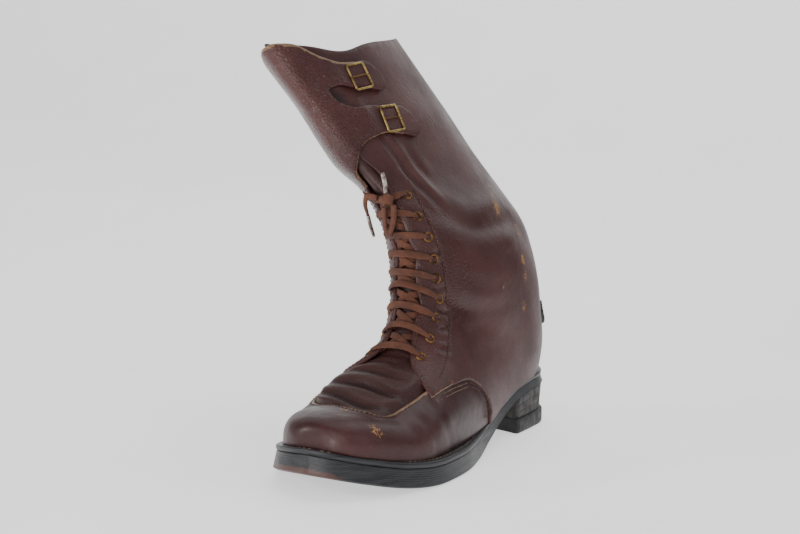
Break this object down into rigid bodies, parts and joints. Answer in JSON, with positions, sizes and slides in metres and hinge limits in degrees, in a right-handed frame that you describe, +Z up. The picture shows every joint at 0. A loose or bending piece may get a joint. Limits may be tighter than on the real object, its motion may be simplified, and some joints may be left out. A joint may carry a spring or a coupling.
{
  "type": "officer boot",
  "caption": "Tall laced leather derby boot for the left foot, with a wrap-over leg flap closed by buckled straps, a spur rest and a stacked heel.",
  "frame": {"origin": "on the floor under the middle of the forefoot's tread", "axes": "+Z up, -Y towards the toe, +X towards the outer side of the foot"},
  "size_m": [0.1732, 0.3082, 0.2646],
  "materials": {
    "oxblood_leather": "grained, satin polish, worn edges",
    "tongue_leather": "soft, smooth",
    "blacked_sole_leather": "blacked and burnished edge",
    "insole_leather": "natural, worn",
    "black_rubber": "matt",
    "aged_brass": "aged, rubbed bright on the edges",
    "rust_brown_lace": "flat woven",
    "lace_tip_metal": "worn, speckled"
  },
  "bodies": {
    "root": {"upper": "oxblood_leather", "back_strip": "oxblood_leather", "tongue": "tongue_leather", "welt": "blacked_sole_leather", "midsole": "blacked_sole_leather", "outsole": "blacked_sole_leather", "heel_stack": "blacked_sole_leather", "heel_top_piece": "black_rubber", "spur_rest": "black_rubber", "insole": "insole_leather", "eyelet_outer_1": "aged_brass", "eyelet_outer_2": "aged_brass", "eyelet_outer_3": "aged_brass", "eyelet_outer_4": "aged_brass", "eyelet_outer_5": "aged_brass", "eyelet_outer_6": "aged_brass", "eyelet_outer_7": "aged_brass", "eyelet_outer_8": "aged_brass", "eyelet_outer_9": "aged_brass", "eyelet_inner_1": "aged_brass", "eyelet_inner_2": "aged_brass", "eyelet_inner_3": "aged_brass", "eyelet_inner_4": "aged_brass", "eyelet_inner_5": "aged_brass", "eyelet_inner_6": "aged_brass", "eyelet_inner_7": "aged_brass", "eyelet_inner_8": "aged_brass", "eyelet_inner_9": "aged_brass", "buckle_frame_upper": "aged_brass", "buckle_prong_upper": "aged_brass", "buckle_frame_lower": "aged_brass", "buckle_prong_lower": "aged_brass", "lace_crossings": "rust_brown_lace", "lace_knot": "rust_brown_lace", "lace_bow_loop": "rust_brown_lace", "lace_end": "rust_brown_lace", "lace_tip_up": "lace_tip_metal", "lace_tip_down": "lace_tip_metal"}
  },
  "joints": []
}
